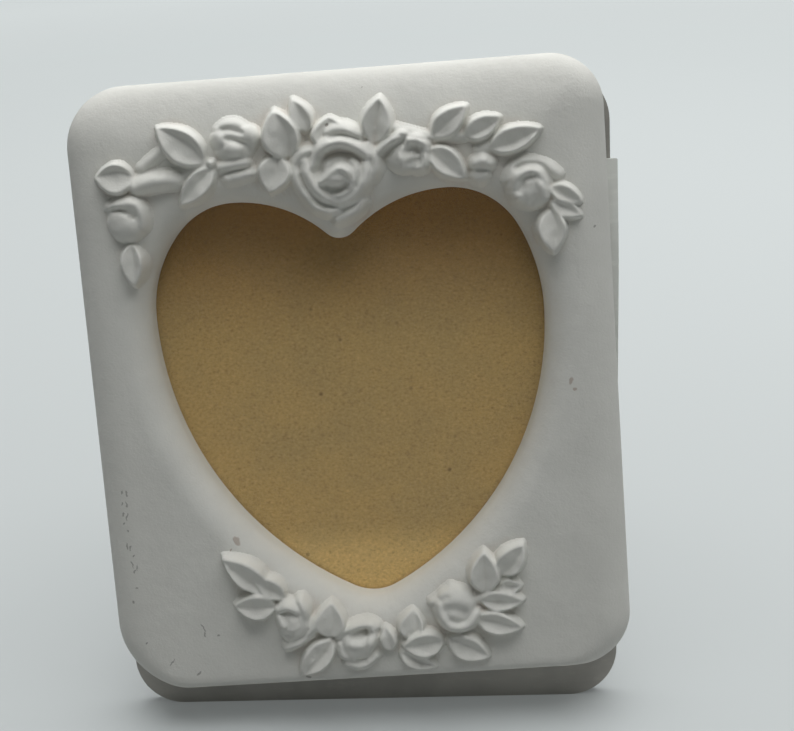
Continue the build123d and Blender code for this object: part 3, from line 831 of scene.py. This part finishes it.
def node_tree(name, sizes):
    """Geometry node tree with named sizes and a material to set, its graph and its inputs."""
    tree = bpy.data.node_groups.new(name, "GeometryNodeTree")
    tree.interface.new_socket("Geometry", in_out="INPUT", socket_type="NodeSocketGeometry")
    for size in sizes:
        tree.interface.new_socket(size, in_out="INPUT", socket_type="NodeSocketFloat")
    tree.interface.new_socket("Material", in_out="INPUT", socket_type="NodeSocketMaterial")
    tree.interface.new_socket("Geometry", in_out="OUTPUT", socket_type="NodeSocketGeometry")
    graph = Graph(tree)
    return tree, graph, graph.node("NodeGroupInput").outputs


def close_tree(graph, geometry, material):
    """Ends a tree in Realize Instances and Set Material."""
    real = graph.node("GeometryNodeRealizeInstances", {"Geometry": geometry}).outputs[0]
    painted = graph.node("GeometryNodeSetMaterial", {"Geometry": real, "Material": material}).outputs[0]
    graph.node("NodeGroupOutput", {"Geometry": painted})


def run_tree(piece, tree, values):
    """Runs a tree on a piece with its inputs set, and keeps the result as a plain mesh."""
    modifier = piece.modifiers.new(tree.name, "NODES")
    modifier.node_group = tree
    for item in tree.interface.items_tree:
        if item.item_type == "SOCKET" and item.in_out == "INPUT" and item.name in values:
            modifier[item.identifier] = values[item.name]
    graph = bpy.context.evaluated_depsgraph_get()
    result = bpy.data.meshes.new_from_object(
        piece.evaluated_get(graph), preserve_all_data_layers=True, depsgraph=graph)
    piece.modifiers.remove(modifier)
    piece.data = result


def rolled_plaque_tree():
    """Raises a flat ring into the casting: full height inside, rolled down at both edges, a little uneven."""
    tree, graph, given = node_tree("Rolled Plaque", ["Thickness", "Edge Roll", "Rim Roll", "Wobble"])

    def read(name):
        kept = graph.node("GeometryNodeInputNamedAttribute", {"Name": name}, data_type="FLOAT")
        return kept.outputs["Attribute"]

    def squared(value):
        return graph.math("MULTIPLY", value, value)

    def drop(distance, radius):
        left = graph.math("MAXIMUM", graph.math("SUBTRACT", radius, distance), 0.0)
        square = graph.math("SUBTRACT", squared(radius), squared(left))
        return graph.math("SUBTRACT", radius, graph.math("SQRT", graph.math("MAXIMUM", square, 0.0)))

    place = graph.node("GeometryNodeInputPosition").outputs[0]
    uneven = graph.math("MULTIPLY", graph.noise(place, 55.0, 2.0), given["Wobble"])
    height = graph.math("SUBTRACT", given["Thickness"], drop(read("edge_distance"), given["Edge Roll"]))
    height = graph.math("SUBTRACT", height, drop(read("rim_distance"), given["Rim Roll"]))
    height = graph.math("SUBTRACT", height, uneven)
    rise = graph.math("MULTIPLY", height, read("front"))
    offset = graph.vector("SCALE", {0: FACE_NORMAL, "Scale": rise})
    raised = graph.node("GeometryNodeSetPosition", {"Geometry": given["Geometry"], "Offset": offset})
    close_tree(graph, raised.outputs[0], given["Material"])
    return tree


def rivet_row_tree():
    """Sets a rivet with a domed head on every point of a mesh, turned about X."""
    tree, graph, given = node_tree(
        "Rivet Row", ["Head Radius", "Head Height", "Shank Radius", "Shank Length", "Turn"])

    def upward(length, across):
        return graph.node("ShaderNodeCombineXYZ", {"X": across, "Y": across, "Z": length}).outputs[0]

    ball = graph.node("GeometryNodeMeshUVSphere", {
        "Segments": 28, "Rings": 16, "Radius": given["Head Radius"]}).outputs["Mesh"]
    flat = upward(graph.math("DIVIDE", given["Head Height"], given["Head Radius"]), 1.0)
    head = graph.node("GeometryNodeTransform", {"Geometry": ball, "Scale": flat}).outputs[0]
    rod = graph.node("GeometryNodeMeshCylinder", {
        "Vertices": 20, "Radius": given["Shank Radius"], "Depth": given["Shank Length"]}).outputs["Mesh"]
    sunk = upward(graph.math("MULTIPLY", given["Shank Length"], -0.5), 0.0)
    shank = graph.node("GeometryNodeTransform", {"Geometry": rod, "Translation": sunk}).outputs[0]
    rivet = graph.node("GeometryNodeJoinGeometry", {"Geometry": head})
    graph.put(rivet.inputs["Geometry"], shank)
    euler = graph.node("ShaderNodeCombineXYZ", {"X": given["Turn"]}).outputs[0]
    turn = graph.node("FunctionNodeEulerToRotation", {0: euler}).outputs[0]
    row = graph.node("GeometryNodeInstanceOnPoints", {
        "Points": given["Geometry"], "Instance": rivet.outputs[0], "Rotation": turn}).outputs[0]
    close_tree(graph, row, given["Material"])
    return tree


def rivet_seats(node, turn, settings):
    """Where the heads of a node's rivets sit on the hinge leaf."""
    axis = np.array([0.0, -math.sin(turn), math.cos(turn)])
    points = node_points(node)
    middle = points[:, 0].mean()
    seats = []
    for rivet in (points[points[:, 0] < middle], points[points[:, 0] > middle]):
        centre = rivet.mean(axis=0)
        seats.append(centre + axis * ((rivet @ axis).max() - settings.head_height - centre @ axis))
    return seats


def make_rivets(name, node, turn, settings):
    """Row of domed rivets in place of a node's flat ones."""
    steel = bpy.data.materials["brushed_steel"]
    piece = new_piece(name, rivet_seats(node, turn, settings), np.empty((0, 4), int), steel)
    run_tree(piece, rivet_row_tree(), {
        "Head Radius": settings.head_radius, "Head Height": settings.head_height,
        "Shank Radius": settings.shank_radius, "Shank Length": settings.shank_length,
        "Turn": turn, "Material": steel,
    })
    smooth_outside(piece.data)
    return piece


def outline_points(directions, settings):
    """Where rays from the middle of the face leave the casting's outline, found by halving, less a hair."""
    low = np.zeros(len(directions))
    high = np.full(len(directions), 2 * HALF_WIDTH)
    for _ in range(40):
        middle = (low + high) / 2
        within = edge_distance(directions[:, 0] * middle, directions[:, 1] * middle, settings) > 0
        low = np.where(within, middle, low)
        high = np.where(within, high, middle)
    return directions * (low - HAIR)[:, None]


def ring_steps(settings):
    """Distances from the heart and from the outline at which rings of points run, close where they roll."""
    fall = 1 - np.cos(np.linspace(0, math.pi / 2, 11))
    past_roll = 1.06
    return settings.rim_roll / MM * fall * past_roll, settings.edge_roll / MM * fall**1.6 * past_roll


def recess_map(settings, garland):
    """Lookup of how deep each spot of the face lies in its surroundings, from a grid over the whole face."""
    pitch, surroundings = 0.4, 1.4
    xs = np.arange(-HALF_WIDTH, HALF_WIDTH + pitch, pitch)
    zs = np.arange(-HALF_HEIGHT, HALF_HEIGHT + pitch, pitch)
    x, z = np.meshgrid(xs, zs)
    ground = face_drop(x, z, heart_edge(COARSE_HEART_POINTS), settings)
    rise = np.maximum(carving(x, z, UPPER, garland), carving(x, z, LOWER, garland)) - ground
    rise = np.maximum(rise, 0)
    deep = soften(rise, surroundings / pitch) - rise

    def lookup(px, pz):
        column = np.clip(((px - xs[0]) / pitch).round().astype(int), 0, len(xs) - 1)
        row = np.clip(((pz - zs[0]) / pitch).round().astype(int), 0, len(zs) - 1)
        return np.clip(deep[row, column], 0, 1)

    return lookup


def make_casting(settings, garland):
    """Front casting as rings of points from the heart's edge out to the outline, over a flat back."""
    heart = heart_edge(RING_POINTS)
    outline = outline_points(heart / np.hypot(*heart.T)[:, None], settings)
    span = np.hypot(*(outline - heart).T)
    rim, edge = ring_steps(settings)
    most_of_span, flat_rings = 0.97, 12
    fit = np.minimum(1.0, most_of_span * span / (rim[-1] + edge[-1]))
    inner = rim[:, None] * fit
    outer = span - edge[::-1, None] * fit
    middle = np.linspace(0, 1, flat_rings + 2)[1:-1, None] * (outer[0] - inner[-1]) + inner[-1]
    steps = np.vstack([inner, middle, outer]) / span
    rings = heart + steps[:, :, None] * (outline - heart)
    rings = np.vstack([rings, outline[None], heart[None]])
    x, z = rings.reshape(-1, 2).T
    front = np.ones(rings.shape[:2])
    front[-2:] = 0
    rim_distance = heart_distance(x, z, heart_edge(FINE_HEART_POINTS))
    rim_distance[:RING_POINTS] = 0
    index = np.arange(front.size).reshape(front.shape)
    below = np.roll(index, -1, axis=0)
    faces = np.stack([index, np.roll(index, -1, axis=1), np.roll(below, -1, axis=1), below], axis=-1)
    white = bpy.data.materials["worn_white_painted_shade"]
    points = stand_up(np.column_stack([x, np.zeros(x.shape), z]))
    piece = new_piece("casting", points, faces.reshape(-1, 4), white)
    for name, values in (
        ("edge_distance", np.maximum(edge_distance(x, z, settings), 0) * MM),
        ("rim_distance", rim_distance * MM),
        ("front", front.ravel()),
        # How deep each point lies, which the white's painted shade darkens.
        ("recess", recess_map(settings, garland)(x, z) * front.ravel()),
    ):
        add_attribute(piece.data, name, values)
    run_tree(piece, rolled_plaque_tree(), {
        "Thickness": settings.thickness, "Edge Roll": settings.edge_roll, "Rim Roll": settings.rim_roll,
        "Wobble": settings.wobble, "Material": white,
    })
    smooth_outside(piece.data)
    return piece


def sheet_faces(cells, used):
    """Faces over the used points of a grid, over the same points underneath, and of the wall round both."""
    total = int(used.sum())
    number = np.full(used.shape, -1)
    number[used] = np.arange(total)
    corners = np.stack([number[:-1, :-1], number[:-1, 1:], number[1:, 1:], number[1:, :-1]], axis=-1)[cells]
    sides = np.stack([corners, np.roll(corners, -1, axis=1)], axis=-1).reshape(-1, 2)
    _, first, counts = np.unique(np.sort(sides, axis=1), axis=0, return_index=True, return_counts=True)
    border = sides[first[counts == 1]]
    walls = np.column_stack([border[:, 1], border[:, 0], border[:, 0] + total, border[:, 1] + total])
    return np.vstack([corners, corners[:, ::-1] + total, walls])


def make_garland(name, garland, casting, settings):
    """One garland as a carved sheet that grows softly out of the casting, closed underneath."""
    pitch = settings.pitch / MM
    margin, hand_start, edge_gap, rim_gap, least_rise = 11, 0.3, 0.4, 0.3, 0.02
    tuck, root, surroundings = 0.35, 0.8, 1.2
    spots = np.array([(leaf[0], leaf[1]) for leaf in garland["leaves"]])
    low_x, low_z = spots.min(axis=0) - margin
    high_x, high_z = np.minimum(spots.max(axis=0) + margin, (HALF_WIDTH, HALF_HEIGHT))
    x, z = np.meshgrid(np.arange(low_x, high_x, pitch), np.arange(low_z, high_z, pitch))
    heart = heart_edge(HEART_POINTS)
    ground = face_drop(x, z, heart, casting)
    rise = soft_max(carving(x, z, garland, settings) - ground, np.zeros(x.shape), FOOT_BLEND)
    rise = soften(rise, settings.softness / settings.pitch)
    rise = rise + settings.hand * unevenness(x.shape, pitch, 3) / MM * np.clip(rise - hand_start, 0, 1)
    top = ground + rise
    on_casting = (edge_distance(x, z, casting) > edge_gap) & ~inside_heart(x, z, heart)
    on_casting &= heart_distance(x, z, heart) > rim_gap
    proud = (rise > least_rise) & on_casting
    cells = proud[:-1, :-1] | proud[1:, :-1] | proud[:-1, 1:] | proud[1:, 1:]
    used = np.zeros_like(proud)
    for dz in (0, 1):
        for dx in (0, 1):
            used[dz:dz + cells.shape[0], dx:dx + cells.shape[1]] |= cells
    sunk = np.where(proud, top, ground - tuck)
    face = -casting.thickness / MM
    upper = stand_up(np.column_stack([x[used], face - sunk[used], z[used]]))
    lower = stand_up(np.column_stack([x[used], face - ground[used] + root, z[used]]))
    white = bpy.data.materials["worn_white_painted_shade"]
    piece = new_piece(name, np.vstack([upper, lower]), sheet_faces(cells, used), white)
    # How deep each point lies, which the white's painted shade darkens.
    deep = np.clip(soften(top, surroundings / pitch) - top, 0, 1)[used]
    add_attribute(piece.data, "recess", np.concatenate([deep, np.zeros(len(deep))]))
    face_outwards(piece.data)
    return piece


def make_lamp(name, power, size, place, aim):
    """Round soft lamp that shines from a place towards its aim."""
    lamp = bpy.data.objects.new(name, bpy.data.lights.new(name, "AREA"))
    lamp.data.shape = "DISK"
    lamp.data.size = size
    lamp.data.energy = power
    lamp.location = place
    lamp.rotation_euler = (Vector(aim) - lamp.location).to_track_quat("-Z", "Y").to_euler()
    bpy.context.scene.collection.objects.link(lamp)


def room_light(settings):
    """Weak even light from all round, which shows paler beyond the table than it shines."""
    world = bpy.data.worlds.new("room")
    world.use_nodes = True
    room = world.node_tree.nodes["Background"]
    room.inputs["Color"].default_value = (0.94, 1.0, 1.0, 1.0)
    graph = Graph(world.node_tree)
    strength = graph.between(seen_rays(graph), settings.ambient, settings.horizon)
    graph.put(room.inputs["Strength"], strength)
    return world


def make_camera():
    """Camera at the photograph's view, rolled a little to its side."""
    ahead = (CAMERA_AIM - CAMERA_PLACE).normalized()
    level = ahead.cross(Vector((0, 0, 1))).normalized()
    up = level.cross(ahead) * math.cos(CAMERA_ROLL) + level * math.sin(CAMERA_ROLL)
    camera = bpy.data.objects.new("camera", bpy.data.cameras.new("camera"))
    camera.matrix_world = Matrix((ahead.cross(up), up, -ahead)).transposed().to_4x4()
    camera.location = CAMERA_PLACE
    camera.data.sensor_fit = "HORIZONTAL"
    camera.data.sensor_width = SENSOR_WIDTH
    camera.data.lens = SENSOR_WIDTH * FOCAL_PIXELS / IMAGE_WIDTH
    camera.data.clip_start = 0.01
    bpy.context.scene.collection.objects.link(camera)
    return camera


class FRAME_OT_casting(bpy.types.Operator):
    """Make the rolled white casting round the heart"""

    bl_idname = "photo_frame.casting"
    bl_label = "Casting"

    def execute(self, context):
        settings = context.scene.photo_frame_casting
        cast_white(settings)
        piece = make_casting(settings, context.scene.photo_frame_garland)
        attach(piece, "frame")
        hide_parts("front_casting")
        return {"FINISHED"}


class FRAME_OT_garlands(bpy.types.Operator):
    """Carve the rose garlands over and under the heart"""

    bl_idname = "photo_frame.garlands"
    bl_label = "Garlands"

    def execute(self, context):
        casting = context.scene.photo_frame_casting
        settings = context.scene.photo_frame_garland
        for name, garland in (("upper_roses", UPPER), ("lower_roses", LOWER)):
            piece = make_garland(name, garland, casting, settings)
            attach(piece, "frame")
            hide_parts(name.replace("roses", "garland"))
        return {"FINISHED"}


class FRAME_OT_cards(bpy.types.Operator):
    """Finish the window, the cards, the pocket strips and the back board"""

    bl_idname = "photo_frame.cards"
    bl_label = "Cards and board"

    def execute(self, context):
        settings = context.scene.photo_frame_cards
        white = plain_card("laid_white", settings.white, ridge=700.0)
        # The grey board's foot is painted paler as painted light.
        grey = plain_card("grained_grey", settings.grey, ridge=1100.0, foot_light=2.1)
        finishes = {
            "photo_card": fibre_card(settings), "window_sheet": clear_sheet(), "slide_card": white,
            "pocket_top_strip": white, "pocket_bottom_strip": white, "pocket_end_strip": white,
            "back_board": grey, "easel_leg": grey,
        }
        for node, material in finishes.items():
            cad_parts[node].material_slots[0].material = material
        return {"FINISHED"}


class FRAME_OT_hinge(bpy.types.Operator):
    """Finish the hinge and its pin"""

    bl_idname = "photo_frame.hinge"
    bl_label = "Hinge"

    def execute(self, context):
        steel = brushed_steel(context.scene.photo_frame_hinge)
        for node in ("hinge_board_leaf", "hinge_leg_leaf", "hinge_pin"):
            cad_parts[node].material_slots[0].material = steel
        return {"FINISHED"}


class FRAME_OT_rivets(bpy.types.Operator):
    """Set the domed rivets of both hinge leaves"""

    bl_idname = "photo_frame.rivets"
    bl_label = "Rivets"

    def execute(self, context):
        settings = context.scene.photo_frame_hinge
        for name, node, body, opening in (
            ("board_rivet_row", "board_rivets", "frame", 0.0),
            ("leg_rivet_row", "leg_rivets", "easel", EASEL_OPENING),
        ):
            piece = make_rivets(name, node, opening - LEAN - math.pi / 2, settings)
            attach(piece, body)
            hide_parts(node)
        return {"FINISHED"}


class FRAME_OT_stage(bpy.types.Operator):
    """Set the pale table, the soft lamps, the room light and the camera"""

    bl_idname = "photo_frame.stage"
    bl_label = "Stage"

    def execute(self, context):
        scene = context.scene
        settings = scene.photo_frame_stage
        half = 3.0
        corners = [(-half, -half, 0), (half, -half, 0), (half, half, 0), (-half, half, 0)]
        floor = new_piece("table", corners, [(0, 1, 2, 3)], pale_table(settings), smooth=False)
        make_lamp("ceiling", settings.ceiling, 0.9, (0.09, 0.135, 0.6), (0.09, 0.135, 0.0))
        make_lamp("front", settings.front, 0.28, (0.06, -0.3, 0.6), (0.0, 0.0, 0.0))
        scene.world = room_light(settings)
        scene.camera = make_camera()
        scene.view_settings.view_transform = "Standard"
        return {"FINISHED"}


class FRAME_PT_panel(bpy.types.Panel):
    """Steps that make the frame"""

    bl_idname = "FRAME_PT_panel"
    bl_label = "Photo Frame"
    bl_space_type = "VIEW_3D"
    bl_region_type = "UI"
    bl_category = "Photo Frame"

    def draw(self, context):
        for operator in OPERATORS:
            self.layout.operator(operator.bl_idname)
        for group in GROUPS:
            settings = getattr(context.scene, group)
            for name in settings.bl_rna.properties.keys():
                if name not in ("rna_type", "name"):
                    self.layout.prop(settings, name)


GROUPS = {
    "photo_frame_casting": CastingSettings,
    "photo_frame_garland": GarlandSettings,
    "photo_frame_cards": CardSettings,
    "photo_frame_hinge": HingeSettings,
    "photo_frame_stage": StageSettings,
}
OPERATORS = (
    FRAME_OT_casting, FRAME_OT_garlands, FRAME_OT_cards, FRAME_OT_hinge, FRAME_OT_rivets, FRAME_OT_stage,
)


def register():
    for group, settings in GROUPS.items():
        bpy.utils.register_class(settings)
        setattr(bpy.types.Scene, group, bpy.props.PointerProperty(type=settings))
    for made in (*OPERATORS, FRAME_PT_panel):
        bpy.utils.register_class(made)


def unregister():
    for made in (FRAME_PT_panel, *reversed(OPERATORS)):
        bpy.utils.unregister_class(made)
    for group, settings in GROUPS.items():
        delattr(bpy.types.Scene, group)
        bpy.utils.unregister_class(settings)


def main():
    register()
    bpy.ops.photo_frame.casting()
    bpy.ops.photo_frame.garlands()
    bpy.ops.photo_frame.cards()
    bpy.ops.photo_frame.hinge()
    bpy.ops.photo_frame.rivets()
    bpy.ops.photo_frame.stage()


if __name__ == "__main__":
    main()
